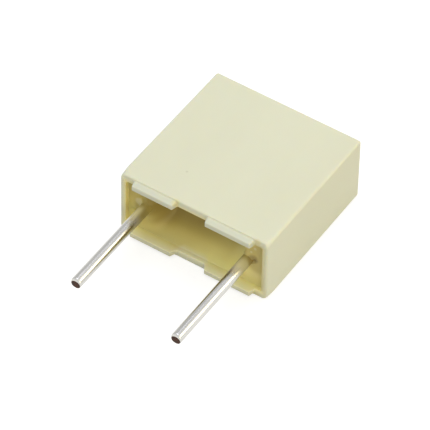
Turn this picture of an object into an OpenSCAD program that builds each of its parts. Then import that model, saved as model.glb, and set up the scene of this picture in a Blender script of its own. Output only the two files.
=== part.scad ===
// Box film capacitor, 5 mm lead pitch, for a printed circuit board.
// Each piece is drawn upright, as it stands on its board: X runs along the lead
// pitch, Z = 0 is the board (the tips of the standoff tabs), the leads go down
// through it and the closed end of the case is on top.
// lay_down() then puts the part on its broad face, as it comes to rest:
// the leads leave along -Y and Z runs through the thickness of the case.
// All lengths are in millimetres.

/* [Case] */
// Width of the case, along the lead pitch
case_w = 7.2; // [6.7:0.1:9]
// Thickness between the two broad faces
case_t = 3.3; // [2.9:0.1:5]
// Height of the case from its rim to its closed end
case_h = 7.15; // [6.2:0.05:10]
// Wall behind each broad face
broad_wall = 0.38; // [0.3:0.02:0.5]
// Wall at each narrow side
side_wall = 0.27; // [0.2:0.01:0.4]
// Wall at the closed end
top_wall = 0.4; // [0.3:0.05:0.7]
// How far each side leans in at the closed end, so that the case leaves its mould
draft_inset = 0.04; // [0.01:0.01:0.08]
// Radius on the outer edges
edge_r = 0.13; // [0.1:0.01:0.2]
// Radius in the upright corners of the inside
inner_r = 0.18; // [0.1:0.02:0.3]

/* [Standoff tabs] */
// How far the tabs hold the rim off the board
standoff_h = 0.3; // [0.2:0.05:0.5]
// Notch between the two tabs of one wall
middle_notch_w = 1.44; // [0.8:0.04:2.4]
// How far the middle of that notch lies to the side of the case's centre line
middle_notch_x = -0.1; // [-0.3:0.02:0.3]
// Notch between a tab and the narrow side of the case
corner_notch_w = 0.58; // [0.4:0.02:1]
// Step from the broad face in to the root of a tab
tab_step = 0.07; // [0.04:0.01:0.1]
// How far the outer face of a tab leans in at its tip
tab_lean = 0.06; // [0.02:0.01:0.1]
// How far each end of a tab leans in at its tip
tab_end_lean = 0.08; // [0.02:0.01:0.15]

/* [Leads] */
// Distance between the centre lines of the leads
lead_pitch = 5; // [4.6:0.1:5.4]
// Diameter of the lead wire
wire_d = 0.5; // [0.4:0.05:0.6]
// Length of the left lead below the board face of the tabs
left_lead_len = 4.5; // [3:0.1:20]
// Length of the right lead below the board face of the tabs
right_lead_len = 4.7; // [3:0.1:20]
// Radius that the cutter leaves on the end of a lead
cut_end_r = 0.1; // [0.04:0.02:0.16]
// Thickness of the strip that the wire is pressed to inside the resin
strip_t = 0.26; // [0.2:0.02:0.36]
// Length of the ramp between the round wire and the strip
strip_ramp = 0.35; // [0.2:0.05:0.6]
// Length of strip welded to the sprayed end
weld_len = 3.6; // [2:0.1:4]
// Depth that the weld sinks the strip into the sprayed end
weld_sink = 0.05; // [0.03:0.01:0.1]
// Round wire buried in the resin before the ramp starts
round_cover = 0.14; // [0.1:0.02:0.3]

/* [Film element] */
// Thickness of the sprayed metal on each end of the winding
spray_t = 0.28; // [0.2:0.02:0.4]
// Clearance that the resin fills between the winding and the broad walls
element_side_gap = 0.15; // [0.08:0.01:0.25]
// Clearance that the resin fills between the winding and the closed end
element_top_gap = 0.25; // [0.1:0.05:0.5]
// Resin between the bottom of the hollow and the winding
element_cover = 0.15; // [0.1:0.05:0.4]

/* [Potting resin] */
// Level of the resin at the leads, measured in from the rim
resin_drop = 0.25; // [0.1:0.01:0.3]
// Depth of the hollow between the leads, measured in from the rim
hollow_depth = 1.55; // [1.3:0.05:1.6]
// Thickness of the resin film that the hollow leaves on each broad wall
wall_film = 0.04; // [0.03:0.01:0.08]
// Length over which the floor of the hollow rises towards each lead
hollow_rise = 1.65; // [1.3:0.05:1.7]
// Resin left between the hollow and each lead
hollow_lead_gap = 0.08; // [0.04:0.01:0.3]
// Height and reach of the collar of resin that climbs each lead
collar_r = 0.12; // [0.06:0.01:0.14]

/* [Hidden] */
$fn = 48;
// Overshoot of a cutting shape past the face that it opens
cut_over = 0.5;

// The case and its inside
rim_z = standoff_h;
closed_end_z = rim_z + case_h;
inner_w = case_w - 2 * side_wall;
inner_t = case_t - 2 * broad_wall;
inner_top_z = closed_end_z - top_wall;
// Where the tabs stand, and how deep in the wall their roots start
tab_far_x = case_w / 2 - corner_notch_w;
tab_root_y = case_t / 2 - tab_step;
tab_root_z = rim_z + edge_r;
// How far a tab's slanted ends spread between its tip and its root
tab_spread = tab_end_lean * tab_root_z / standoff_h;

// The leads and the film element between them
wire_r = wire_d / 2;
lead_x = lead_pitch / 2;
spray_face_x = lead_x - strip_t / 2 + weld_sink;
winding_w = 2 * (spray_face_x - spray_t);
element_t = inner_t - 2 * element_side_gap;
element_low_z = rim_z + hollow_depth + element_cover;
element_top_z = inner_top_z - element_top_gap;

// The strip keeps the section area of the wire that it is pressed from
strip_w = PI * wire_r * wire_r / strip_t;
strip_low_z = rim_z + resin_drop + round_cover;
strip_top_z = element_low_z + weld_len;

// The surface of the resin
resin_z = rim_z + resin_drop;
hollow_z = rim_z + hollow_depth;
hollow_half_w = lead_x - wire_r - hollow_lead_gap;
hollow_r = inner_t / 2 - wall_film;
// The arc that rises hollow_rise sideways from the floor to the surface
rise_r = (pow(hollow_rise, 2) + pow(hollow_z - resin_z, 2)) / (2 * (hollow_z - resin_z));

// Turns a piece from upright on its board to flat on its broad face.
module lay_down() {
    rotate([-90, 0, 0]) children();
}

// A rectangle round the origin with rounded corners.
module rounded_rect(w, t, r) {
    square([w - 2 * r, t], center = true);
    square([w, t - 2 * r], center = true);
    for (sx = [-1, 1], sy = [-1, 1])
        translate([sx * (w / 2 - r), sy * (t / 2 - r)]) circle(r);
}

// A profile standing on y = 0 that narrows by inset on each side over its
// height, with its four corners rounded by arcs tangent to both their sides.
module rounded_taper(w, h, inset, r) {
    lean = atan(inset / h);
    low_x = w / 2 - r * tan(lean) - r / cos(lean);
    high_x = w / 2 - (h - r) * tan(lean) - r / cos(lean);
    side_x = r * cos(lean);
    side_y = r * sin(lean);
    right = [[low_x, 0], [low_x + side_x, r + side_y],
             [high_x + side_x, h - r + side_y], [high_x, h]];
    left = [for (i = [3:-1:0]) [-right[i][0], right[i][1]]];
    polygon(concat(right, left));
    for (s = [-1, 1]) {
        translate([s * low_x, r]) circle(r);
        translate([s * high_x, h - r]) circle(r);
    }
}

// A profile in X and Z, made t thick and centred on Y = 0.
module thick_in_y(t) {
    rotate([90, 0, 0]) linear_extrude(height = t, center = true) children();
}

// A profile in Y and Z, made w wide and centred on X = 0.
module wide_in_x(w) {
    rotate([90, 0, 90]) linear_extrude(height = w, center = true) children();
}

// The outside of the moulded case. Its two profiles give the leaning sides and
// round the edges of the rim and of the closed end. Two crossed slabs and four
// slightly conical corner posts, tangent to the sides, round the upright edges.
module case_block() {
    post_x = case_w / 2 - edge_r;
    post_y = case_t / 2 - edge_r;
    intersection() {
        thick_in_y(case_t + 2 * cut_over) rounded_taper(case_w, case_h, draft_inset, edge_r);
        wide_in_x(case_w + 2 * cut_over) rounded_taper(case_t, case_h, draft_inset, edge_r);
        union() {
            translate([-post_x, -case_t, -cut_over]) cube([2 * post_x, 2 * case_t, case_h + 2 * cut_over]);
            translate([-case_w, -post_y, -cut_over]) cube([2 * case_w, 2 * post_y, case_h + 2 * cut_over]);
            for (sx = [-1, 1], sy = [-1, 1])
                translate([sx * post_x, sy * post_y, 0])
                    cylinder(h = case_h, r1 = edge_r, r2 = edge_r - draft_inset);
        }
    }
}

// The space inside the case between two heights, shared by the case and the resin.
module inside(low_z, high_z) {
    translate([0, 0, low_z])
        linear_extrude(height = high_z - low_z) rounded_rect(inner_w, inner_t, inner_r);
}

// One standoff tab on the +X, +Y side, near_x from the centre line: flush with
// the inner face of the wall, stepped in from the broad face, and leaning in
// towards its tip on three sides.
module standoff_tab(near_x) {
    intersection() {
        thick_in_y(case_t)
            polygon([[near_x + tab_end_lean - tab_spread, tab_root_z],
                     [near_x + tab_end_lean, 0], [tab_far_x - tab_end_lean, 0],
                     [tab_far_x - tab_end_lean + tab_spread, tab_root_z]]);
        wide_in_x(case_w)
            polygon([[inner_t / 2, tab_root_z], [inner_t / 2, 0], [tab_root_y - tab_lean, 0],
                     [tab_root_y, rim_z], [tab_root_y, tab_root_z]]);
    }
}

// Moulded case: one piece with its four standoff tabs, open at the board side.
module case() {
    color([0.89, 0.88, 0.79]) lay_down() {
        difference() {
            translate([0, 0, rim_z]) case_block();
            inside(rim_z - cut_over, inner_top_z);
        }
        for (side = [-1, 1], my = [0, 1])
            mirror([side < 0 ? 1 : 0, 0, 0]) mirror([0, my, 0])
                standoff_tab(middle_notch_w / 2 + side * middle_notch_x);
    }
}

// The hollow that the resin leaves between the leads. Across the thickness it is
// half round and leaves a film on each broad wall, as a liquid does that wets
// them. Along the leads' pitch its floor rises by an arc before each lead.
module resin_hollow() {
    floor_x = hollow_half_w - hollow_rise;
    intersection() {
        union() {
            translate([0, 0, hollow_z - hollow_r]) rotate([0, 90, 0])
                cylinder(h = 2 * lead_x, r = hollow_r, center = true);
            translate([-lead_x, -hollow_r, 0]) cube([2 * lead_x, 2 * hollow_r, hollow_z - hollow_r]);
        }
        thick_in_y(case_t) {
            translate([-floor_x, 0]) square([2 * floor_x, hollow_z]);
            for (s = [-1, 1]) translate([s * floor_x, hollow_z - rise_r]) circle(rise_r);
        }
    }
}

// Collar of resin that the wet surface draws up a lead, with a hollow flank.
module lead_collar() {
    foot_r = wire_r + collar_r;
    translate([0, 0, resin_z])
        rotate_extrude()
            difference() {
                translate([0, -collar_r]) square([foot_r, 2 * collar_r]);
                translate([foot_r, -collar_r]) circle(collar_r);
            }
}

// Cast resin: fills the case round the element and closes the board side.
module potting_resin() {
    color([0.74, 0.69, 0.45]) lay_down()
        difference() {
            union() {
                inside(resin_z, inner_top_z);
                for (s = [-1, 1]) translate([s * lead_x, 0, 0]) lead_collar();
            }
            resin_hollow();
            winding_shape(2 * spray_face_x);
            for (s = [-1, 1]) wire_shape(s, 0);
        }
}

// Outline of the pressed winding, w wide along X: two flats and two round ends.
module winding_shape(w) {
    end_r = element_t / 2;
    wide_in_x(w) {
        translate([-end_r, element_low_z + end_r])
            square([element_t, element_top_z - element_low_z - element_t]);
        for (z = [element_low_z + end_r, element_top_z - end_r])
            translate([0, z]) circle(end_r);
    }
}

// Metallised film, wound flat: the turns are pressed into one solid.
module film_winding() {
    color([0.78, 0.79, 0.80]) lay_down() winding_shape(winding_w);
}

// Metal sprayed on one end of the winding, with the groove of the welded wire.
module end_spray(side) {
    color([0.55, 0.55, 0.54]) lay_down()
        difference() {
            intersection() {
                winding_shape(2 * spray_face_x);
                translate([side * (winding_w + spray_t) / 2, 0, (element_low_z + element_top_z) / 2])
                    cube([spray_t, case_t, case_h], center = true);
            }
            wire_shape(side, 0);
        }
}

// One lead: round wire from its cut end, len below the board, to just inside the
// resin, then a ramp to the flat strip that is welded to the element.
module wire_shape(side, len) {
    ramp_top_z = strip_low_z + strip_ramp;
    translate([side * lead_x, 0, 0]) {
        translate([0, 0, -len])
            rotate_extrude() {
                square([wire_r - cut_end_r, cut_end_r]);
                translate([0, cut_end_r]) square([wire_r, len + strip_low_z - cut_end_r]);
                intersection() {
                    translate([wire_r - cut_end_r, cut_end_r]) circle(cut_end_r);
                    square([wire_r, cut_end_r]);
                }
            }
        intersection() {
            thick_in_y(strip_w + wire_d)
                polygon([[-wire_r, strip_low_z], [wire_r, strip_low_z],
                         [strip_t / 2, ramp_top_z], [strip_t / 2, strip_top_z],
                         [-strip_t / 2, strip_top_z], [-strip_t / 2, ramp_top_z]]);
            wide_in_x(strip_t + wire_d)
                polygon([[-wire_r, strip_low_z], [wire_r, strip_low_z],
                         [strip_w / 2, ramp_top_z], [strip_w / 2, strip_top_z],
                         [-strip_w / 2, strip_top_z], [-strip_w / 2, ramp_top_z]]);
        }
    }
}

// Tinned wire leads, each welded to its own end of the element.
module lead(side, len) {
    color([0.80, 0.80, 0.78]) lay_down() wire_shape(side, len);
}

case();
potting_resin();
film_winding();
end_spray(-1);  // end_spray_left
end_spray(1);  // end_spray_right
lead(-1, left_lead_len);  // lead_left
lead(1, right_lead_len);  // lead_right
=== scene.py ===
# %% [markdown]
# # A small box film capacitor
#
# The real part is a pale plastic box, moulded in one piece with four low standoff
# tabs. A wound film element with two welded wire leads is pushed into the box, and
# liquid resin closes the open side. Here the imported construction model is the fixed
# frame, and the visible pieces are worked out again as smooth surfaces around it.

# %% Load the fixed frame
import math
import bpy
import numpy as np
from mathutils import Euler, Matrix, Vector


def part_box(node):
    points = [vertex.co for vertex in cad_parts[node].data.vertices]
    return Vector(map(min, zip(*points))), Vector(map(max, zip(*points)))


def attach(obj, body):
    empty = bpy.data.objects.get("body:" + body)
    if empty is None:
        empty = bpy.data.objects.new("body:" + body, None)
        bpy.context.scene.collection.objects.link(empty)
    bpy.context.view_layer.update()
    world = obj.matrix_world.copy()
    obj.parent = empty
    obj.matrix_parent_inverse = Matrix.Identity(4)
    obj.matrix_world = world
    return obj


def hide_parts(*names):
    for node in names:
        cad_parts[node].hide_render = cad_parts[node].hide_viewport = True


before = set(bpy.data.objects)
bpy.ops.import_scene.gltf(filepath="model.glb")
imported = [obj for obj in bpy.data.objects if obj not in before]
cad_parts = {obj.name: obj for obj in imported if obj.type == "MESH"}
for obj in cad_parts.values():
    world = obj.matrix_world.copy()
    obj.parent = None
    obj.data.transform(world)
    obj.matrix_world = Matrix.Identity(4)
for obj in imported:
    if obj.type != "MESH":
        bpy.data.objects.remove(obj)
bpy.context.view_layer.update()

MM = 0.001
print("nodes in the frame:", sorted(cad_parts))

# %% [markdown]
# ## Sizes that the frame gives
#
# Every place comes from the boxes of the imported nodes, so the new surfaces fit the
# construction model by themselves. X runs along the lead pitch, Y points from the
# board into the part, and Z is the thickness. Lengths are in metres; MM keeps the
# numbers that are typed here readable.

# %% Read the sizes
case_low, case_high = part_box("case")
resin_low, resin_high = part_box("potting_resin")
lead_boxes = {side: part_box("lead_" + side) for side in ("left", "right")}

HALF_W = case_high.x
HALF_T = case_high.z
TAB_TIP_Y = case_low.y
CLOSED_Y = case_high.y
INNER_HALF_W = resin_high.x
INNER_HALF_T = resin_high.z
INNER_TOP_Y = resin_high.y
LEAD_X = (lead_boxes["right"][0].x + lead_boxes["right"][1].x) / 2
WIRE_R = (lead_boxes["right"][1].x - lead_boxes["right"][0].x) / 2
print("inside, mm:", [round(v / MM, 3) for v in (2 * INNER_HALF_W, 2 * INNER_HALF_T, INNER_TOP_Y)])
print("leads, mm: pitch", round(2 * LEAD_X / MM, 3), "wire", round(2 * WIRE_R / MM, 3))

# %% Sizes of the moulding
UPPER, LOWER = 1, -1           # the two broad sides, by the sign of their Z
DRAFT = 0.04 * MM              # how far each side leans in at the closed end
RIM_Y = 0.3 * MM               # the rim stands this far behind the tips of the tabs
UPPER_BACK = 0.045 * MM        # the upper rim and tabs end this much further back
EDGE_R = 0.13 * MM             # outer edges
CORNER_R = 0.26 * MM           # upright edges close to the rim
INNER_R = 0.12 * MM            # upright corners of the inside
TAB_STEP = 0.07 * MM           # from the broad face in to the root of a tab
TAB_LEAN = 0.06 * MM           # lean of a tab's outer face
TAB_END_LEAN = 0.08 * MM       # lean of a tab's ends
NOTCH_X = -0.1 * MM            # middle of the notch between two tabs
NOTCH_HALF_W = 0.72 * MM
TAB_FAR_X = {UPPER: 2.95 * MM, LOWER: 3.02 * MM}     # far ends of the tabs
print("case, mm:", [round(v / MM, 3) for v in (2 * HALF_W, 2 * HALF_T, CLOSED_Y - RIM_Y)])

# %% [markdown]
# ## How a surface becomes a mesh
#
# Each piece is a grid of points, worked out as one numpy array: the rows run along
# the piece and the columns run round it. Quads join neighbours, the last column
# joins the first, and a single point closes each end. One helper builds them all,
# so every piece is closed and its faces point outwards.

# %% A closed grid
CREASE_ANGLE = math.radians(35)          # edges sharper than this are shaded as edges


def close_grid(name, points, start, end):
    """A closed mesh from rows x columns points, with a pole before and after.

    Vertex (i, j) is points[i, j]. Quad (i, j) joins (i, j), (i, j + 1), (i + 1, j + 1)
    and (i + 1, j), with j counted round the row. Triangles fan from each pole.
    """
    rows, cols = points.shape[:2]
    body = np.arange(rows * cols).reshape(rows, cols) + 1
    after = np.roll(body, -1, axis=1)
    quads = np.stack([body[:-1], after[:-1], after[1:], body[1:]], -1).reshape(-1, 4)
    first = np.zeros(cols, int)
    last = np.full(cols, rows * cols + 1)
    fans = np.concatenate([np.stack([first, after[0], body[0]], -1),
                           np.stack([body[-1], after[-1], last], -1)])
    verts = np.concatenate([[start], points.reshape(-1, 3), [end]])
    mesh = bpy.data.meshes.new(name)
    mesh.from_pydata(verts.tolist(), [], quads.tolist() + fans.tolist())
    mesh.polygons.foreach_set("use_smooth", np.ones(len(mesh.polygons), bool))
    mesh.set_sharp_from_angle(angle=CREASE_ANGLE)
    mesh.update()
    piece = bpy.data.objects.new(name, mesh)
    bpy.context.scene.collection.objects.link(piece)
    print(f"{name}: {len(mesh.vertices)} vertices, {len(mesh.polygons)} faces")
    return piece


# %% Spacing and soft bends
def eased(count):
    """count + 1 values from 0 to 1 that crowd towards both ends: (1 - cos(pi t)) / 2."""
    return (1 - np.cos(np.pi * np.linspace(0, 1, count + 1))) / 2


def smooth_ramp(t, w):
    """0 below t = 0, 1 above t = 1 and t between, with both bends rounded over 2 w.

    It is the difference of two rounded hinges, h(t) - h(t - 1), where a hinge is 0,
    then (t + w) squared over 4 w, then t.
    """
    def hinge(u):
        return np.where(u < -w, 0, np.where(u > w, u, (u + w) ** 2 / (4 * w)))
    return hinge(t) - hinge(t - 1)


print("four eased steps:", eased(4).round(3))
print("a soft ramp:", smooth_ramp(np.linspace(-0.5, 1.5, 5), 0.35).round(3))


# %% Rounding a profile
def rounded_rows(corners, setbacks, arc_steps, line_steps):
    """Rounds each inner corner of a polyline, for all its columns at once.

    corners is corner x column x value. A corner K with sides towards P and N turns
    into the parabola (1-t)^2 A + 2 t (1-t) K + t^2 B, where A and B lie on the two
    sides, a setback away from K. The lines between are sampled closer to their ends.
    """
    def back(k, other):
        reach = np.linalg.norm((corners[other] - corners[k])[:, 1:3], axis=-1)
        share = np.minimum(setbacks[k] / np.maximum(reach, 1e-9), 0.5)[:, None]
        return corners[k] + share * (corners[other] - corners[k])

    rows, leave = [], corners[0]
    for k in range(1, len(corners)):
        inner = k < len(corners) - 1
        arrive = back(k, k - 1) if inner else corners[k]
        t = eased(line_steps[k - 1])[:, None, None]
        rows.append(((1 - t) * leave + t * arrive)[:-1 if inner else None])
        if inner:
            leave = back(k, k + 1)
            t = np.linspace(0, 1, arc_steps + 1)[:-1, None, None]
            rows.append((1 - t) ** 2 * arrive + 2 * t * (1 - t) * corners[k] + t ** 2 * leave)
    return np.concatenate(rows)


right_angle = np.array([[[0, 0, 0]], [[0, 1, 0]], [[0, 1, 1]]], float)     # one column
rounded = rounded_rows(right_angle, [0, 0.2, 0], 2, [1, 1])
print("a rounded right angle:", rounded[:, 0, 1:].round(2).tolist())

# %% [markdown]
# ## The case
#
# On the real part the case is one thin-walled moulding, drafted so that it leaves its
# mould, with rounded edges and four tabs that keep it off the board. It could be
# modelled as a box with bevels, but then the stepped and leaning tabs would need
# booleans. Here one profile is carried round the outline of the box: down the outer
# wall, over the rim and up the inner wall. Where a tab stands, the same profile
# reaches further out, so case and tabs are one smooth skin, as in the mould.

# %% Columns on a broad side
TAB_ZONE = 3.05 * MM                         # flat stretch shared by outer and inner walls
SPREAD_COUNT = 62                            # columns spread evenly along it
END_FINE = np.linspace(-0.05, 0.14, 20) * MM  # fine columns across each end of a tab
CLOSEST = 0.004 * MM                         # columns closer than this are dropped


def broad_columns():
    """X of the columns on a broad side: an even spread and fine steps at each tab's ends."""
    ends = [NOTCH_X + NOTCH_HALF_W + END_FINE, NOTCH_X - NOTCH_HALF_W - END_FINE]
    for far_x in TAB_FAR_X.values():
        ends += [far_x - END_FINE, END_FINE - far_x]
    x = np.sort(np.concatenate([np.linspace(-TAB_ZONE, TAB_ZONE, SPREAD_COUNT), *ends]))
    x = x[np.abs(x) <= TAB_ZONE]
    return x[np.concatenate([[True], np.diff(x) > CLOSEST])]


print("columns on a broad side:", len(broad_columns()))

# %% Columns round the box
GUARD = np.array([0.02, 0.045, 0.075]) * MM  # extra columns beside the upright edges
EDGE_STEPS = 8                               # steps round an upright edge
SHORT_STEPS = 14                             # steps along a short side


def columns(cx, cz, ux, uz, x0=0, tab=0):
    """One stretch of columns; a value that is a single number holds for all of them."""
    return np.stack(np.broadcast_arrays(cx, cz, ux, uz, x0, tab), -1)


def outline_columns():
    """One row per column: its shares of (a - r) in X, of (b - r) in Z, of r in X and in Z,
    its fixed X, and 1 where a tab may stand. a and b are the half sizes and r the corner
    radius of the outline, so one set of columns serves every outline of the box."""
    x = broad_columns()
    turn = np.linspace(0, np.pi / 2, EDGE_STEPS + 1)
    sin, cos = np.sin(turn), np.cos(turn)
    across = 1 - 2 * eased(SHORT_STEPS)[1:-1]
    cols = []
    for s in (UPPER, LOWER):
        cols += [
            columns(-s, s, 0, s, s * GUARD),             # beside the first upright edge
            columns(0, s, 0, s, s * x, 1),               # along the broad side
            columns(s, s, 0, s, -s * GUARD[::-1]),       # beside the next edge
            columns(s, s, s * sin, s * cos),             # round that edge
            columns(s, s * across, s, 0),                # along the short side
            columns(s, -s, s * cos, -s * sin),           # round the edge at its other end
        ]
    return np.concatenate(cols)


COLUMNS = outline_columns()
print("columns round the box:", len(COLUMNS))


# %% Points on an outline
def on_outline(rows):
    """Points for rows of (a, b, y, r, k): the outline with half sizes a, b and corner
    radius r at depth y, shrunk by k towards the axis."""
    a, b, y, r, k = np.moveaxis(rows, -1, 0)
    cx, cz, ux, uz, x0, _ = COLUMNS.T
    return np.stack([k * (cx * (a - r) + ux * r + x0), y, k * (cz * (b - r) + uz * r)], -1)


outer_wall = on_outline(np.tile([HALF_W, HALF_T, 0, EDGE_R, 1], (len(COLUMNS), 1)))
print("outline, mm:", (np.ptp(outer_wall, axis=0) / MM).round(3))

# %% Where the tabs stand
END_BEND = 0.35                # how softly a tab's ends bend, as a share of their lean


def tab_height():
    """For each column, 0 on the bare rim and 1 on a tab, with ramps at the tab's ends."""
    x = COLUMNS[:, 4]
    rise = smooth_ramp((np.abs(x - NOTCH_X) - NOTCH_HALF_W) / TAB_END_LEAN, END_BEND)
    far_x = np.where(COLUMNS[:, 3] > 0, TAB_FAR_X[UPPER], TAB_FAR_X[LOWER])
    fall = smooth_ramp((far_x - np.abs(x)) / TAB_END_LEAN, END_BEND)
    return COLUMNS[:, 5] * rise * fall


print("columns on the tabs:", int((tab_height() > 0.5).sum()))

# %% The profile, with the tabs
END_RING = 0.3 * MM            # a closed end shrinks to a point inside a ring this wide
RIM_SOFT = 0.15 * MM           # where the bare rim has left its rounded outer edge
RIM_FLAT = 0.04 * MM           # and the next corner of its profile, further in
SIDE_FLAT = 0.02 * MM          # the same on the short sides
STRAIGHT_Y = 0.5 * MM          # the walls stand straight this far from the rim, then lean in
ALMOST_POINT = 0.02            # the innermost ring, as a share of its full size
ARC_STEPS = 8


def make_case():
    """The case: rows follow the profile from the closed end over the rim to the inside."""
    tab = tab_height()
    upper = UPPER_BACK * np.clip(COLUMNS[:, 3], 0, 1)
    rim_y = RIM_Y + upper
    depth = RIM_Y + (TAB_TIP_Y - RIM_Y) * tab + upper
    foot = RIM_SOFT + (TAB_STEP - RIM_SOFT) * tab
    tip = RIM_SOFT + RIM_FLAT * (1 - tab) + (TAB_STEP + TAB_LEAN - RIM_SOFT) * tab
    top_w, top_t = HALF_W - DRAFT, HALF_T - DRAFT
    outer_ring = (top_w - END_RING, top_t - END_RING, CLOSED_Y, 0.02 * MM)
    inner_ring = (INNER_HALF_W - END_RING, INNER_HALF_T - END_RING, INNER_TOP_Y, 0.05 * MM)

    # Each corner has (half width, half thickness, Y, radius of the outline there), the share
    # that it shrinks to, how far its rounding reaches in millimetres, and the steps of the
    # line to the next corner.
    profile = [
        (outer_ring, ALMOST_POINT, 0, 3),
        (outer_ring, 1, 0.001, 4),
        ((top_w, top_t, CLOSED_Y, EDGE_R - DRAFT), 1, 0.13, 26),
        ((HALF_W, HALF_T, RIM_Y + STRAIGHT_Y, EDGE_R), 1, 0.1, 4),
        ((HALF_W, HALF_T, rim_y, CORNER_R), 1, 0.16, 4),
        ((HALF_W - RIM_SOFT, HALF_T - foot, rim_y, 0.05 * MM), 1, 0.05, 8),
        ((HALF_W - RIM_SOFT - SIDE_FLAT, HALF_T - tip, depth, 0.06 * MM), 1, 0.05, 6),
        ((INNER_HALF_W, INNER_HALF_T, depth, INNER_R), 1, 0.04, 12),
        ((INNER_HALF_W, INNER_HALF_T, INNER_TOP_Y, INNER_R), 1, 0.05, 3),
        (inner_ring, 1, 0.001, 2),
        (inner_ring, ALMOST_POINT, 0, None),
    ]
    corners = np.stack([np.stack([v + 0 * tab for v in (*corner, shrink)], -1)
                        for corner, shrink, _, _ in profile])
    setbacks = np.array([setback for _, _, setback, _ in profile]) * MM
    line_steps = [steps for _, _, _, steps in profile[:-1]]
    points = on_outline(rounded_rows(corners, setbacks, ARC_STEPS, line_steps))
    return close_grid("case_moulding", points, (0, CLOSED_Y, 0), (0, INNER_TOP_Y, 0))


case_piece = make_case()

# %% [markdown]
# ## The resin
#
# The resin is poured in as a liquid. It sinks between the leads, climbs the walls and
# the wires, and then sets, so its face is one continuous curved surface. A sculpted
# mesh would hide the rule behind it. Here its depth is a formula of X and Z: a trough
# across the thickness, rounded ends in front of the leads, and thin edges drawn up
# wherever the liquid wetted something. A few small pits are left by bubbles.

# %% Sizes of the drawn-up surface
WETTED_Y = 0.46 * MM           # edge of the trough on the long walls
LONG_CLIMB = 0.09 * MM         # and how much further the resin is drawn up there,
LONG_FADE = 0.07 * MM          # over this distance from the wall
END_Y = 0.62 * MM              # its level round the leads
END_CLIMB = 0.17 * MM          # how far it climbs the walls there,
END_FADE = 0.14 * MM           # over this distance
WIRE_CLIMB = {-1: 0.10 * MM, 1: 0.16 * MM}     # how far it climbs the left and the right wire,
WIRE_FADE = 0.09 * MM          # over this distance
TROUGH_DEEP = 1.45 * MM        # from the wetted line to the bottom of the trough
TROUGH_HALF_W = 2.5 * MM       # half the length of the trough
TROUGH_RISE = 0.85 * MM        # length over which its floor rises towards a lead
TROUGH_POWER = 2.4             # 2 is a parabola, and more is rounder at the bottom
TROUGH_BLEND = 0.3 * MM        # width of the soft crease between the trough and the ends
PITS = [((2.77, 0.02), 0.08, 0.15), ((-2.76, 0.36), 0.10, 0.10), ((-3.05, -0.5), 0.08, 0.06)]


# %% The drawn-up surface
def soft_max(a, b, w):
    """The larger of a and b, with the crease between them rounded over the width w."""
    mix = np.clip((a - b) / w, -1, 1)
    return np.where(mix < 0, b, a) + w * (1 - np.abs(mix)) ** 2 / 4


def drawn_up(distance, climb, fade):
    """How far the liquid is drawn up at a distance: climb times exp(-distance / fade)."""
    return climb * np.exp(-np.maximum(distance, 0) / fade)


def resin_surface(x, z):
    """Depth Y of the resin's face at (x, z).

    Across Z the trough is 1 - |z / half thickness| to a power, which leaves both walls
    at a slight angle, as a liquid does that wets them. Its depth fades towards the
    leads by a smooth step. Round the leads the face is nearly level. Each edge that the
    liquid wetted lifts it by an amount that dies away exponentially, and each pit is
    a round dimple, exp(-(distance / radius)^2).
    """
    off_side, off_broad = INNER_HALF_W - np.abs(x), INNER_HALF_T - np.abs(z)
    t = np.clip((np.abs(x) - (TROUGH_HALF_W - TROUGH_RISE)) / TROUGH_RISE, 0, 1)
    length_fade = 1 - t * t * (3 - 2 * t)
    across = 1 - np.minimum(np.abs(z / INNER_HALF_T), 1) ** TROUGH_POWER
    trough = WETTED_Y + TROUGH_DEEP * length_fade * across
    trough -= drawn_up(off_broad, LONG_CLIMB, LONG_FADE)
    ends = END_Y - drawn_up(np.minimum(off_side, off_broad), END_CLIMB, END_FADE)
    depth = soft_max(trough, ends, TROUGH_BLEND)
    for side, climb in WIRE_CLIMB.items():
        off_wire = np.hypot(x - side * LEAD_X, z) - WIRE_R
        depth = depth - drawn_up(off_wire, climb, WIRE_FADE)
    for (pit_x, pit_z), radius, deep in PITS:
        distance_2 = (x / MM - pit_x) ** 2 + (z / MM - pit_z) ** 2
        depth = depth + deep * MM * np.exp(-distance_2 / radius ** 2)
    return depth


print("bottom of the hollow, mm behind the tabs:", round(float(resin_surface(0.0, 0.0)) / MM, 3))

# %% The resin's mesh
SUNK = 0.03 * MM               # the sides of the mesh lie this far inside the case's walls
HALF_STEPS = 150               # columns from the middle to a rounded corner
TURN_STEPS = 12
FACE_STEPS = 120               # points across the face
BACK_STEPS = 9


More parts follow.
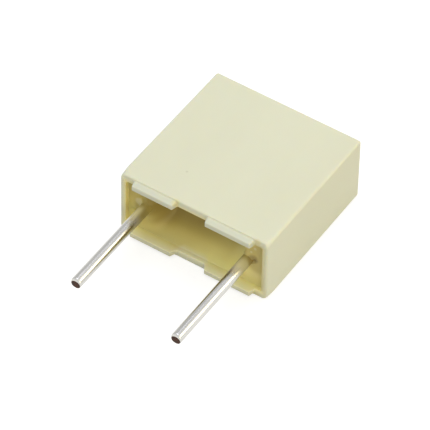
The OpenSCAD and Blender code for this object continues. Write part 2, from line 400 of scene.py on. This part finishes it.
def make_resin():
    """The resin: each row is a loop across the thickness, over the face and round the back.

    X follows the rounded corners of the inside, where the half thickness falls off as
    a quarter circle. The sides are sunk in the walls, so no edge shows where they meet.
    """
    straight_x = INNER_HALF_W + SUNK - INNER_R
    straight_z = INNER_HALF_T + SUNK - INNER_R
    turn = np.linspace(0, np.pi / 2, TURN_STEPS)[1:]
    x = np.concatenate([np.linspace(0, straight_x, HALF_STEPS), straight_x + INNER_R * np.sin(turn)])
    x = np.concatenate([-x[:0:-1], x])
    past = np.clip(np.abs(x) - straight_x, 0, INNER_R)
    half_t = (straight_z + np.sqrt(INNER_R ** 2 - past ** 2))[:, None]
    side = eased(8)[1:-1]
    face_z = half_t * np.linspace(-1, 1, FACE_STEPS)
    face_y = resin_surface(x[:, None] + 0 * face_z, face_z)
    down_y = face_y[:, -1:] + (INNER_TOP_Y - face_y[:, -1:]) * side
    up_y = face_y[:, :1] + (INNER_TOP_Y - face_y[:, :1]) * side[::-1]
    back_z = half_t * np.linspace(1, -1, BACK_STEPS)
    y = np.concatenate([face_y, down_y, INNER_TOP_Y + 0 * back_z, up_y], 1)
    z = np.concatenate([face_z, half_t + 0 * down_y, back_z, -half_t + 0 * up_y], 1)
    points = np.stack([x[:, None] + 0 * y, y, z], -1)
    middle = (END_Y + INNER_TOP_Y) / 2
    return close_grid("cast_resin", points, (x[0], middle, 0), (x[-1], middle, 0))


resin_piece = make_resin()

# %% [markdown]
# ## The leads
#
# Each lead is tinned copper wire. It is round where it shows, and pressed to a flat
# strip inside the part, where it is welded. A shear cuts it to length: its blade rolls
# the tin over the upper edge and lays the copper bare below. A cylinder with a bevel
# would have a flat, centred end, so one section is carried along Y: a circle that
# turns into a rounded rectangle, and shrinks to a point at each end, where the rings
# of the cut end also slide down by a share of their shrinking.

# %% Wires
CUT_R = 0.1 * MM               # length of the rounded edge of the cut end
COPPER_R = 0.2 * MM            # half the width of the bare face
COPPER_FLAT = 0.72             # its height over its width
COPPER_DROP = 0.09 * MM        # its middle lies this far below the middle of the wire
STRIP_Y = 0.9 * MM             # the ramp to the strip starts here, under the resin
RAMP = 0.35 * MM               # and is this long
WIRE_SIDES = 64
WIRE_STEPS = 60


def make_lead(side):
    """One lead: rows along Y, columns round the wire, with a rounded cut end.

    The strip keeps the wire's area: pi r^2 is 4 times its half width and half thickness.
    """
    low, high = lead_boxes[side]
    mid_x = (low.x + high.x) / 2
    strip_half_w = high.z
    strip_half_t = math.pi * WIRE_R ** 2 / (4 * strip_half_w)
    turn = np.linspace(0, 2 * np.pi, WIRE_SIDES, endpoint=False)
    ring = np.stack([np.cos(turn), np.sin(turn)], -1)
    square = ring / np.maximum(np.abs(ring[:, :1]), np.abs(ring[:, 1:]))

    bend = np.linspace(0, np.pi / 2, 9)
    face_r = np.array([0.25, 0.5, 0.75, 0.93]) * COPPER_R
    cut_r = COPPER_R + (WIRE_R - COPPER_R) * np.sin(bend)
    cut_y = low.y + CUT_R * (1 - np.cos(bend))
    long_y = low.y + CUT_R + (STRIP_Y - low.y - CUT_R) * eased(WIRE_STEPS)[1:]
    strip_y = STRIP_Y + np.concatenate([RAMP * np.linspace(0, 1, 8)[1:], [high.y - STRIP_Y]])
    y = np.concatenate([low.y + 0 * face_r, cut_y, long_y, strip_y])
    radius = np.concatenate([face_r, cut_r, np.full(len(long_y) + len(strip_y), WIRE_R)])

    flat = np.clip((y - STRIP_Y) / RAMP, 0, 1)[:, None, None]
    round_part = radius[:, None, None] * ring
    strip_part = np.array([strip_half_t, strip_half_w]) * square
    xz = (1 - flat) * round_part + flat * strip_part
    shrunk = np.clip((WIRE_R - radius) / (WIRE_R - COPPER_R), 0, 1)[:, None]
    xz[..., 1] = xz[..., 1] * (1 - (1 - COPPER_FLAT) * shrunk) - COPPER_DROP * shrunk
    points = np.stack([mid_x + xz[..., 0], y[:, None] + 0 * xz[..., 0], xz[..., 1]], -1)
    return close_grid("wire_" + side, points[:, ::-1], (mid_x, low.y, -COPPER_DROP), (mid_x, high.y, 0))


wires = {side: make_lead(side) for side in ("left", "right")}

# %% [markdown]
# ## How a finish is built
#
# A flat colour looks like a toy, and a painted image would slide or blur on another
# side. Every finish here is a node material on Object coordinates: each object sits at
# the origin, so a pattern stays where it is on the surface. Patterns vary the colour,
# the roughness and a very fine bump. Values that are the same all over are set on the
# shader itself.

# %% A material and its patterns
def new_material(name):
    """A material with its shader, its node tree and Object coordinates to read."""
    mat = bpy.data.materials.new(name)
    mat.use_nodes = True
    tree = mat.node_tree
    shader = tree.nodes["Principled BSDF"]
    coords = tree.nodes.new("ShaderNodeTexCoord").outputs["Object"]
    return mat, tree, shader, coords


def stretched(tree, coords, scale):
    """Coordinates scaled by a different amount along each axis."""
    node = tree.nodes.new("ShaderNodeMapping")
    node.inputs["Scale"].default_value = scale
    tree.links.new(coords, node.inputs["Vector"])
    return node.outputs["Vector"]


def noise(tree, coords, size, detail=3.0, rough=0.5):
    """Soft noise whose patches are about size metres across."""
    node = tree.nodes.new("ShaderNodeTexNoise")
    node.inputs["Scale"].default_value = 1 / size
    node.inputs["Detail"].default_value = detail
    node.inputs["Roughness"].default_value = rough
    tree.links.new(coords, node.inputs["Vector"])
    return node.outputs["Fac"]


def blend_colours(tree, value, stops):
    """Colours along a ramp: stops are (position, (r, g, b))."""
    node = tree.nodes.new("ShaderNodeValToRGB")
    ramp = node.color_ramp
    while len(ramp.elements) < len(stops):
        ramp.elements.new(0.5)
    for element, (position, colour) in zip(ramp.elements, stops):
        element.position = position
        element.color = (*colour, 1)
    tree.links.new(value, node.inputs["Fac"])
    return node.outputs["Color"]


def spread(tree, value, low, high):
    """A value from 0 to 1 mapped on to low to high."""
    node = tree.nodes.new("ShaderNodeMapRange")
    node.inputs["To Min"].default_value = low
    node.inputs["To Max"].default_value = high
    tree.links.new(value, node.inputs["Value"])
    return node.outputs["Result"]


# %% Relief, translucency, and putting a finish on
def add_bump(tree, shader, height, distance):
    """Bumps of about distance metres on the shader's normal."""
    node = tree.nodes.new("ShaderNodeBump")
    node.inputs["Distance"].default_value = distance
    tree.links.new(height, node.inputs["Height"])
    tree.links.new(node.outputs["Normal"], shader.inputs["Normal"])


def let_light_in(shader, weight, radius):
    """Light enters the surface by about a third of a millimetre, red deepest."""
    shader.inputs["Subsurface Weight"].default_value = weight
    shader.inputs["Subsurface Radius"].default_value = radius
    shader.inputs["Subsurface Scale"].default_value = 0.35 * MM


def finish_with(piece, *materials):
    """Puts the materials on a piece, in place of those that it had."""
    piece.data.materials.clear()
    for mat in materials:
        piece.data.materials.append(mat)
        print(f"{piece.name}: {mat.name}, {len(mat.node_tree.nodes)} nodes")


# %% Working with values
def maths(tree, operation, a, b=0.0):
    """One Math node on two values, each a socket or a number."""
    node = tree.nodes.new("ShaderNodeMath")
    node.operation = operation
    for value, socket in zip((a, b), node.inputs):
        if isinstance(value, (int, float)):
            socket.default_value = value
        else:
            tree.links.new(value, socket)
    return node.outputs[0]


def times(tree, *shares):
    """The product of several shares, each a socket or a number."""
    total = shares[0]
    for share in shares[1:]:
        total = maths(tree, "MULTIPLY", total, share)
    return total


def strongest(tree, *shares):
    """The largest of several shares."""
    total = shares[0]
    for share in shares[1:]:
        total = maths(tree, "MAXIMUM", total, share)
    return total


def smooth_step(tree, value, start, end):
    """0 at start and 1 at end, with a smooth step between."""
    node = tree.nodes.new("ShaderNodeMapRange")
    node.interpolation_type = "SMOOTHSTEP"
    node.inputs["From Min"].default_value = start
    node.inputs["From Max"].default_value = end
    tree.links.new(value, node.inputs["Value"])
    return node.outputs["Result"]


def fade(tree, value, start, end):
    """A smooth step between two places given in millimetres."""
    return smooth_step(tree, value, start * MM, end * MM)


def wandering(tree, pattern, reach):
    """A pattern from 0 to 1 as a shift to and fro, reach metres from end to end."""
    return maths(tree, "MULTIPLY", maths(tree, "SUBTRACT", pattern, 0.5), reach)


# %% Places on a piece
def axes(tree, coords):
    """Object X, Y and Z as three values."""
    node = tree.nodes.new("ShaderNodeSeparateXYZ")
    tree.links.new(coords, node.inputs[0])
    return node.outputs


def beyond(tree, value, size):
    """How far a value lies outside plus or minus size."""
    return maths(tree, "SUBTRACT", maths(tree, "ABSOLUTE", value), size)


def spot(tree, coords, place, radius):
    """1 within half the radius of a place given in millimetres, falling to 0 at it."""
    node = tree.nodes.new("ShaderNodeVectorMath")
    node.operation = "DISTANCE"
    tree.links.new(coords, node.inputs[0])
    node.inputs[1].default_value = [c * MM for c in place]
    return fade(tree, node.outputs["Value"], radius, radius / 2)


def below_rim(tree, x, y):
    """Y, counted from the tips of the tabs, and in the notch from the rim."""
    off_middle = maths(tree, "ABSOLUTE", maths(tree, "SUBTRACT", x, NOTCH_X))
    notch = smooth_step(tree, off_middle, NOTCH_HALF_W + 0.2 * MM, NOTCH_HALF_W - 0.2 * MM)
    return maths(tree, "SUBTRACT", y, times(tree, notch, RIM_Y))


# %% Coats of colour
def mix_colours(tree, share, first, second):
    """first where share is 0 and second where it is 1, each a socket or a colour."""
    node = tree.nodes.new("ShaderNodeMix")
    node.data_type = "RGBA"
    tree.links.new(share, node.inputs["Factor"])
    for value, socket in ((first, node.inputs[6]), (second, node.inputs[7])):
        if isinstance(value, tuple):
            socket.default_value = (*value, 1)
        else:
            tree.links.new(value, socket)
    return node.outputs[2]


def coated(tree, colour, coats):
    """A colour under coats of (share, colour), each laid over all that came before."""
    for share, paint in coats:
        colour = mix_colours(tree, share, colour, paint)
    return colour


# %% [markdown]
# ## Moulded plastic
#
# The case is pale cream polyester: satin, a little translucent, with faint flow marks
# from the mould. Where the liquid resin touched it, a thin film has stained it yellow:
# on the inner walls, on the rims of the short sides and beside the ends of the tabs.
# A second mesh for the film would flicker against the wall, so the film is a share
# worked out from how far a point lies outside the inner walls and behind the tabs.
# Places and radii of small marks are in millimetres.

# %% The bare plastic
TAB_TINTS = [(-1.0, 0.2, -1.5), (-0.85, 0.27, 1.55), (3.08, 0.27, 1.55), (3.1, 0.25, -1.5)]
SPECK = (-1.397, 1.908, 1.65)  # a dark speck on the upper face


def bare_plastic(tree, coords, off_x, y, z):
    """Cream with flow marks; painted shade makes the upper tabs greyer and darker, and painted bounce light
    from the yellow resin makes the lower rim yellower.
    """
    flow = noise(tree, stretched(tree, coords, (1, 0.45, 1)), 2.2 * MM, 4)
    cream = blend_colours(tree, flow, [(0.3, (0.675, 0.684, 0.545)), (0.7, (0.693, 0.704, 0.565))])
    painted_shade_upper_tabs = times(tree, fade(tree, y, 0.34, 0.20), fade(tree, z, 0.0, 0.5))
    painted_bounce_lower_rim = times(tree, fade(tree, y, 0.45, 0.32), fade(tree, off_x, 0.32, 0.2),
                      fade(tree, z, -0.9, -1.3))
    tints = strongest(tree, *[spot(tree, coords, place, 0.22) for place in TAB_TINTS])
    return coated(tree, cream, [
        # painted shade on the upper tabs
        (painted_shade_upper_tabs, (0.62, 0.64, 0.535)),
        # painted bounce light from the yellow resin on the lower rim
        (painted_bounce_lower_rim, (0.69, 0.68, 0.50)),
        (times(tree, tints, 0.6), (0.68, 0.62, 0.33)),
    ])


# %% The film of resin on it
PALE_FILM = (0.85, 0.82, 0.57)
YELLOW_FILM = (0.84, 0.75, 0.34)
RIGHT_FILM = (0.62, 0.54, 0.23)        # browner round the right lead


def film_share(tree, coords, off_x, y, z):
    """1 on the inner walls, and up to 0.75 on the rims of the short sides."""
    streaks = noise(tree, stretched(tree, coords, (1, 1, 0.3)), 0.12 * MM, 3)
    wander = wandering(tree, streaks, 0.12 * MM)
    off_wall = maths(tree, "MAXIMUM", off_x, beyond(tree, z, INNER_HALF_T))
    closed_end = smooth_step(tree, y, INNER_TOP_Y + 0.1 * MM, INNER_TOP_Y + 0.02 * MM)
    inner = times(tree, fade(tree, off_wall, 0.03, 0.0), closed_end)
    rim = times(tree, fade(tree, maths(tree, "ADD", y, wander), 0.46, 0.34),
                fade(tree, y, 0.2, 0.28),
                fade(tree, maths(tree, "ADD", off_wall, wander), 0.24, 0.0), 0.75)
    return strongest(tree, inner, rim)


def film_colour(tree, x, y, z):
    """Yellow, browner to the right and paler towards the tips of the tabs; on the lower wall it is lighter,
    more so to the right, as painted light for what shines through the thin wall.
    """
    side = mix_colours(tree, fade(tree, x, 2.4, 3.1), YELLOW_FILM, RIGHT_FILM)
    side = mix_colours(tree, fade(tree, y, 0.0, 0.3), PALE_FILM, side)
    # painted light: the lower wall is lightened, more towards the right
    right = fade(tree, x, -1.2, 1.0)
    pale = mix_colours(tree, right, (0.86, 0.83, 0.56), (0.93, 0.90, 0.60))
    yellow = mix_colours(tree, right, (0.86, 0.79, 0.34), (0.95, 0.87, 0.40))
    lower = mix_colours(tree, fade(tree, below_rim(tree, x, y), 0.05, 0.5), pale, yellow)
    return mix_colours(tree, fade(tree, z, -1.1, -1.3), side, lower)


# %% The case's finish
def moulded_plastic():
    """Cream plastic with its film of resin and a speck, satin and slightly translucent."""
    mat, tree, shader, coords = new_material("cream_moulding")
    x, y, z = axes(tree, coords)
    off_x = beyond(tree, x, INNER_HALF_W)
    colour = coated(tree, bare_plastic(tree, coords, off_x, y, z), [
        (film_share(tree, coords, off_x, y, z), film_colour(tree, x, y, z)),
        (times(tree, spot(tree, coords, SPECK, 0.07), 0.3), (0.42, 0.40, 0.30)),
    ])
    tree.links.new(colour, shader.inputs["Base Color"])
    grain = noise(tree, coords, 0.06 * MM, 2)
    tree.links.new(spread(tree, grain, 0.42, 0.52), shader.inputs["Roughness"])
    add_bump(tree, shader, grain, 0.0012 * MM)
    shader.inputs["Specular IOR Level"].default_value = 0.35
    let_light_in(shader, 0.35, (1.0, 0.72, 0.34))
    return mat


finish_with(case_piece, moulded_plastic())

# %% [markdown]
# ## Cast resin
#
# The resin is yellowish epoxy: smooth, a little glossy, and clouded by its filler.
# Painted shade makes it browner where the hollow is deep and to the upper left, painted light
# makes it paler to the lower right and on the lower wall, where it also thins out. Each of
# these is one coat of colour: a share that depends on the place, and the tone that it turns the
# resin to. Coats are easy to read and to tune one by one, where a single ramp would tie them all together.

# %% Coats in the hollow
BROWN_SPOTS = [((3.0, 0.6, 0.5), 1.0), ((2.9, 0.6, -0.15), 0.7)]    # (place, radius)


def hollow_coats(tree, coords, x, y, z):
    """Painted shade makes it browner at the bottom, to the upper left and over its left part, and
    painted light paler to the lower right; it is also browner round the right lead and paler at both ends."""
    slant = maths(tree, "SUBTRACT", maths(tree, "MULTIPLY", x, 0.35), z)
    # painted light low down, left of the right lead
    painted_light_lower_right = times(tree, fade(tree, x, 1.2, 1.8), fade(tree, z, -0.5, -0.9), 0.8)
    brown = strongest(tree, *[spot(tree, coords, place, radius) for place, radius in BROWN_SPOTS])
    # painted shade on the left of the hollow, strongest high up
    painted_shade_left_half = times(tree, fade(tree, x, -0.8, -2.0), fade(tree, z, -1.1, 0.1), 0.85)
    return [
        (times(tree, fade(tree, slant, 0.3, -1.1), 0.85), (0.35, 0.27, 0.07)),     # painted shade, upper left under the upper wall
        (fade(tree, y, 0.8, 1.8), (0.35, 0.27, 0.072)),                            # painted shade at the bottom of the hollow
        (fade(tree, slant, 0.4, 2.0), (0.86, 0.78, 0.31)),                         # painted light towards the lower right
        (painted_light_lower_right, (0.96, 0.88, 0.42)),
        (times(tree, fade(tree, x, 2.0, 2.8), 0.85), (0.77, 0.68, 0.32)),          # right end
        (times(tree, brown, 0.65), (0.54, 0.44, 0.16)),
        (painted_shade_left_half, (0.34, 0.265, 0.07)),
        (times(tree, fade(tree, x, -2.4, -2.8), 0.75), (0.57, 0.48, 0.15)),        # left end
    ]


# %% Coats on the lower wall
def lower_coats(tree, x, y, z):
    """Painted light along the lower wall, where the resin also thins to a pale film, and painted shade on the
    lower left and on the slope at the left end.
    """
    # painted light: the thin film is brightest right of the middle and darker towards both ends
    middle = times(tree, fade(tree, x, -1.0, 1.2), fade(tree, x, 2.3, 1.5))
    film = mix_colours(tree, middle, (0.70, 0.62, 0.25), (0.92, 0.84, 0.34))
    thin = smooth_step(tree, z, 0.45 * MM - INNER_HALF_T, -INNER_HALF_T)
    # painted shade on the lower left and on the slope at the left end
    painted_shade_lower_left = times(tree, fade(tree, x, -1.5, -2.2), fade(tree, z, -0.3, -0.7), 0.65)
    painted_shade_slope = times(tree, fade(tree, x, -1.2, -1.9), fade(tree, x, -2.6, -1.95),
                  fade(tree, z, -1.15, -0.7), fade(tree, z, 0.6, 0.0), 0.8)
    # painted light: paler just behind the rim
    edge = times(tree, fade(tree, below_rim(tree, x, y), 0.45, 0.05), fade(tree, z, -0.9, -1.2))
    return [
        (thin, film),
        (painted_shade_lower_left, (0.57, 0.49, 0.17)),
        (painted_shade_slope, (0.33, 0.25, 0.07)),
        (edge, (0.87, 0.82, 0.57)),
    ]


# %% Small marks
ROOT_SHADE = (2.74, 0.5, 0.08)       # painted shade, brown, where the right lead enters the resin beside a pit
ROOT_SHADE_R = 0.32
ROOT_SHADE_SHARE = 0.65
ROOT_SHADE_BROWN = (0.27, 0.20, 0.07)
SPECKS_AND_HIGHLIGHT = [                     # x, z and radius; y follows from the surface; the first is a painted highlight beside the left lead, the rest pale bubble specks
    (-2.86, 0.1, 0.26), (2.68, 0.86, 0.08), (2.79, 0.68, 0.09), (2.62, 0.42, 0.07),
]


def painted_root_shade(tree, coords):
    """Painted shade at the root of the right lead as a coat, shared by the resin and the wire."""
    return times(tree, spot(tree, coords, ROOT_SHADE, ROOT_SHADE_R), ROOT_SHADE_SHARE), ROOT_SHADE_BROWN


def small_coats(tree, coords, x, z):
    """A yellow strip at the left wall, pale bubble specks and a painted highlight on the face, and painted
    shade at the root of the right lead.
    """
    strip = times(tree, fade(tree, x, -2.95, -3.2), fade(tree, z, 0.5, -0.4), 0.7)
    specks_and_highlight = []
    for fleck_x, fleck_z, radius in SPECKS_AND_HIGHLIGHT:
        fleck_y = float(resin_surface(fleck_x * MM, fleck_z * MM)) / MM
        specks_and_highlight.append(spot(tree, coords, (fleck_x, fleck_y, fleck_z), radius))
    return [
        (strip, (0.76, 0.67, 0.22)),
        # pale bubble specks, and a painted highlight beside the left lead
        (times(tree, strongest(tree, *specks_and_highlight), 0.4), (0.78, 0.75, 0.54)),
        painted_root_shade(tree, coords),
    ]


# %% The resin's finish
def cast_resin():
    """Cloudy yellow epoxy under its coats, rippled, a little glossy and translucent."""
    mat, tree, shader, coords = new_material("yellow_epoxy")
    cloud = noise(tree, coords, 0.9 * MM, 4)
    yellow = blend_colours(tree, cloud, [(0.25, (0.61, 0.50, 0.145)), (0.75, (0.69, 0.59, 0.20))])
    x, y, z = axes(tree, coords)
    coats = [*hollow_coats(tree, coords, x, y, z), *lower_coats(tree, x, y, z),
             *small_coats(tree, coords, x, z)]
    tree.links.new(coated(tree, yellow, coats), shader.inputs["Base Color"])
    ripple = noise(tree, coords, 0.16 * MM, 3)
    tree.links.new(spread(tree, ripple, 0.38, 0.5), shader.inputs["Roughness"])
    add_bump(tree, shader, ripple, 0.004 * MM)
    shader.inputs["Specular IOR Level"].default_value = 0.3
    let_light_in(shader, 0.3, (1.0, 0.7, 0.3))
    return mat


finish_with(resin_piece, cast_resin())

# %% [markdown]
# ## Tin and copper
#
# The wire is bright tin, with fine lines along its length from drawing. Near the part a
# film of resin has crept up it, so there it is no longer metal but dull. Painted shade and
# the painted reflection of the dark hollow make the film brown underneath, on the right and
# at the root, and pale on top and on the left. Drawn lines could be an anisotropic shader,
# but noise that is stretched along the wire also breaks up the colour. The sheared end shows torn copper,
# dark and brown.

# %% Tinned wire
def wire_film(tree, coords, x, y, z):
    """The resin on the wire, pale, made brown underneath and on the right by painted shade and the painted
    reflection of the dark hollow, and at the root by painted shade.
    """
    to_axis = times(tree, maths(tree, "SIGN", x), LEAD_X)
    off_axis = maths(tree, "SUBTRACT", x, to_axis)
    across = maths(tree, "SUBTRACT", maths(tree, "MULTIPLY", off_axis, 2.0), z)
    # painted shade and painted reflection of the dark hollow, darker on the left lead
    painted_shade_underside = mix_colours(tree, fade(tree, x, -1, 1), (0.31, 0.255, 0.09), (0.56, 0.51, 0.28))
    return coated(tree, (0.68, 0.62, 0.35), [
        (fade(tree, across, -0.36, 0.2), painted_shade_underside),
        # painted shade at the root
        (times(tree, fade(tree, y, 0.1, 0.5), 0.85), (0.41, 0.33, 0.10)),
        painted_root_shade(tree, coords),
    ])


def tinned_wire():
    """Bright tin with drawn lines along Y, dulled by a film of resin near the root."""
    mat, tree, shader, coords = new_material("bright_tin")
    lines = noise(tree, stretched(tree, coords, (1, 0.04, 1)), 0.05 * MM, 3)
    tin = blend_colours(tree, lines, [(0.3, (0.58, 0.575, 0.55)), (0.7, (0.69, 0.685, 0.66))])
    x, y, z = axes(tree, coords)
    wetted = fade(tree, maths(tree, "ADD", y, wandering(tree, lines, 0.5 * MM)), -0.9, 0.0)
    colour = mix_colours(tree, wetted, tin, wire_film(tree, coords, x, y, z))
    tree.links.new(colour, shader.inputs["Base Color"])
    tree.links.new(spread(tree, lines, 0.16, 0.3), shader.inputs["Roughness"])
    tree.links.new(spread(tree, wetted, 1.0, 0.0), shader.inputs["Metallic"])
    add_bump(tree, shader, lines, 0.0015 * MM)
    return mat


# %% Dull metals
def grainy_metal(name, grain, tones, metallic, roughness, relief):
    """A metal whose colour, roughness and bump follow one grain: (size, detail, rough,
    stretch). tones are the two stops of its colour."""
    size, detail, rough, stretch = grain
    mat, tree, shader, coords = new_material(name)
    pattern = noise(tree, stretched(tree, coords, stretch), size * MM, detail, rough)
    tree.links.new(blend_colours(tree, pattern, tones), shader.inputs["Base Color"])
    tree.links.new(spread(tree, pattern, *roughness), shader.inputs["Roughness"])
    add_bump(tree, shader, pattern, relief * MM)
    shader.inputs["Metallic"].default_value = metallic
    return mat


EVEN = (1, 1, 1)
cut_copper = grainy_metal("cut_copper", (0.07, 4, 0.5, EVEN),
                          [(0.35, (0.025, 0.016, 0.012)), (0.6, (0.085, 0.032, 0.017))],
                          0.8, (0.35, 0.6), 0.012)

# %% Tin on the wires, copper on their cut ends
COPPER_Y = 0.006 * MM          # faces this close to the end of the wire are bare copper
tin = tinned_wire()
for side, wire in wires.items():
    finish_with(wire, tin, cut_copper)
    centres = np.zeros(3 * len(wire.data.polygons))
    wire.data.polygons.foreach_get("center", centres)
    bare = centres.reshape(-1, 3)[:, 1] < lead_boxes[side][0].y + COPPER_Y
    wire.data.polygons.foreach_set("material_index", bare.astype(np.int32))
    print(f"{wire.name}: {bare.sum()} copper faces")

# %% [markdown]
# ## The pieces inside
#
# The wound film and the metal sprayed on its ends are hidden by the case and the resin.
# Their construction solids have the right shape, so they stay as they are and only get
# a finish: satin grey with the fine lines of the turns, and a dull sprayed grain.

# %% Film and sprayed metal
wound_film = grainy_metal("wound_film", (0.03, 2, 0.5, (0.05, 1, 1)),
                          [(0.3, (0.50, 0.51, 0.53)), (0.7, (0.66, 0.67, 0.68))],
                          0.9, (0.25, 0.4), 0.002)
sprayed_zinc = grainy_metal("sprayed_zinc", (0.05, 4, 0.7, EVEN),
                            [(0.3, (0.28, 0.28, 0.27)), (0.7, (0.47, 0.47, 0.45))],
                            0.7, (0.6, 0.8), 0.02)
finish_with(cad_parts["film_winding"], wound_film)
for side in ("left", "right"):
    finish_with(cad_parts["end_spray_" + side], sprayed_zinc)

# %% [markdown]
# ## Join the pieces to the frame
#
# Each new piece rides on the only body and takes the place of a construction node, which
# is hidden; the record's material slot that it shows is only printed. Places were worked out
# from the frame, so nothing is moved here.

# %% Ride and replace
PIECES = [
    (case_piece, "case", "case_plastic"),
    (resin_piece, "potting_resin", "resin"),
    (wires["left"], "lead_left", "tinned_wire"),
    (wires["right"], "lead_right", "tinned_wire"),
]
for piece, node, slot in PIECES:
    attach(piece, "root")
    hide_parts(node)
    print(f"{piece.name} stands for {node} and shows {slot}")

# %% [markdown]
# ## Floor
#
# The part lies on plain pale paper. Lamps strong enough to burn the paper out would
# also bleach the part, so the paper glows only for the rays that see it, from the
# camera or by way of gloss, which costs the part no extra light. It still takes the
# part's soft shadow. It lies a hair below the part, so the two never share a plane.

# %% White floor
FLOOR_Z = case_low.z - 0.002 * MM
FLOOR_HALF = 0.6
PAPER = (0.5, 0.5, 0.5)        # what the paper sends back to the part
SHADED = (0.4, 0.4, 0.4)       # how much of the shadow is seen on it
GLOW = 0.72                    # and the glow that lifts it to white


def seen_directly(tree):
    """1 for camera, glossy and transmission rays, 0 for the rays that carry light."""
    path = tree.nodes.new("ShaderNodeLightPath")
    return strongest(tree, *[path.outputs[f"Is {kind} Ray"] for kind in ("Camera", "Glossy", "Transmission")])


def paper_shader(tree, kind, name, value):
    """One shader node with a single value set."""
    node = tree.nodes.new(kind)
    node.inputs[name].default_value = value
    return node.outputs[0]


def white_paper():
    """Paper that carries light as grey, and is seen as white under the part's shadow."""
    mat = bpy.data.materials.new("white_paper")
    mat.use_nodes = True
    tree = mat.node_tree
    tree.nodes.clear()
    lifted = tree.nodes.new("ShaderNodeAddShader")
    mix = tree.nodes.new("ShaderNodeMixShader")
    out = tree.nodes.new("ShaderNodeOutputMaterial")
    sockets = [
        (paper_shader(tree, "ShaderNodeBsdfDiffuse", "Color", (*SHADED, 1)), lifted.inputs[0]),
        (paper_shader(tree, "ShaderNodeEmission", "Strength", GLOW), lifted.inputs[1]),
        (seen_directly(tree), mix.inputs[0]),
        (paper_shader(tree, "ShaderNodeBsdfDiffuse", "Color", (*PAPER, 1)), mix.inputs[1]),
        (lifted.outputs[0], mix.inputs[2]),
        (mix.outputs[0], out.inputs["Surface"]),
    ]
    for source, target in sockets:
        tree.links.new(source, target)
    return mat


floor_mesh = bpy.data.meshes.new("floor")
floor_corners = [(x * FLOOR_HALF, y * FLOOR_HALF, FLOOR_Z) for x, y in ((-1, -1), (1, -1), (1, 1), (-1, 1))]
floor_mesh.from_pydata(floor_corners, [], [(0, 1, 2, 3)])
floor_mesh.materials.append(white_paper())
floor = bpy.data.objects.new("floor", floor_mesh)
bpy.context.scene.collection.objects.link(floor)
print("floor at Z, mm:", round(FLOOR_Z / MM, 3))

# %% [markdown]
# ## Light
#
# Soft light comes from all round, and three boxes shape it: a cool one above, and two
# warm ones that fill the narrow side and the leads' side. The camera sees the world as
# white. Gloss sees a white room whose back left part is grey, because a wire in an
# all-white room would look flat: the grey part draws the dark bands along the leads.

# %% World
WORLD_LIGHT = (0.975, 0.985, 0.915)
WORLD_STRENGTH = 0.715
WHITE = (1.0, 1.0, 1.0)
ROOM_GREY = (0.73, 0.73, 0.73)


def studio_world():
    """World light, seen as white by the camera and as the room by gloss.

    The room turns from grey to white by a smooth step on X - 0.9 Y of the direction.
    """
    world = bpy.data.worlds.new("studio")
    bpy.context.scene.world = world
    world.use_nodes = True
    tree = world.node_tree
    light = tree.nodes["Background"]
    light.inputs["Color"].default_value = (*WORLD_LIGHT, 1)
    light.inputs["Strength"].default_value = WORLD_STRENGTH
    x, y, _ = axes(tree, tree.nodes.new("ShaderNodeTexCoord").outputs["Object"])
    side = maths(tree, "SUBTRACT", x, maths(tree, "MULTIPLY", y, 0.9))
    room = mix_colours(tree, smooth_step(tree, side, -0.6, -0.1), ROOM_GREY, WHITE)
    to_camera = tree.nodes.new("ShaderNodeLightPath").outputs["Is Camera Ray"]
    seen = tree.nodes.new("ShaderNodeBackground")
    tree.links.new(mix_colours(tree, to_camera, room, WHITE), seen.inputs["Color"])
    mix = tree.nodes.new("ShaderNodeMixShader")
    tree.links.new(seen_directly(tree), mix.inputs[0])
    tree.links.new(light.outputs[0], mix.inputs[1])
    tree.links.new(seen.outputs[0], mix.inputs[2])
    tree.links.new(mix.outputs[0], tree.nodes["World Output"].inputs["Surface"])


studio_world()

# %% Lamps
AIM = Vector((0, 2 * MM, 0))   # the middle of the part
COOL = (0.86, 0.86, 1.0)
WARM = (1.0, 0.84, 0.50)
SOFT_BOXES = [                 # name, place, size, watts, colour
    ("top_box", (-0.03, 0.02, 0.17), 0.12, 0.09, COOL),
    ("front_right_box", (0.13, -0.09, 0.08), 0.10, 0.075, WARM),
    ("right_back_box", (0.121, 0.103, 0.088), 0.07, 0.06, WARM),
]


def soft_box(name, place, size, watts, colour):
    """A square area lamp at place, turned to shine on the part."""
    data = bpy.data.lights.new(name, "AREA")
    data.size = size
    data.energy = watts
    data.color = colour
    lamp = bpy.data.objects.new(name, data)
    bpy.context.scene.collection.objects.link(lamp)
    lamp.location = place
    lamp.rotation_euler = (AIM - Vector(place)).to_track_quat("-Z", "Y").to_euler()
    print(f"{name}: {watts} W from {(AIM - Vector(place)).length:.3f} m")


for box in SOFT_BOXES:
    soft_box(*box)

# %% [markdown]
# ## Camera
#
# A long lens from well back keeps the edges of a small part almost parallel. It looks
# down on the leads' side, so the mouth of the case, the hollow and both leads show.

# %% Camera
CAMERA_PLACE = (62.08 * MM, -95.17 * MM, 123.86 * MM)
CAMERA_TURN = (42.9, -0.835, 33.493)     # degrees about X, Y and Z
LENS = 345.3

camera_data = bpy.data.cameras.new("camera")
camera_data.sensor_width = 36
camera_data.lens = LENS
camera_data.clip_start = 0.01
camera_data.clip_end = 10
camera = bpy.data.objects.new("camera", camera_data)
bpy.context.scene.collection.objects.link(camera)
camera.location = CAMERA_PLACE
camera.rotation_euler = Euler([math.radians(a) for a in CAMERA_TURN])
bpy.context.scene.camera = camera
bpy.context.scene.view_settings.view_transform = "Standard"
print("camera stands back, m:", round((Vector(CAMERA_PLACE) - AIM).length, 3))
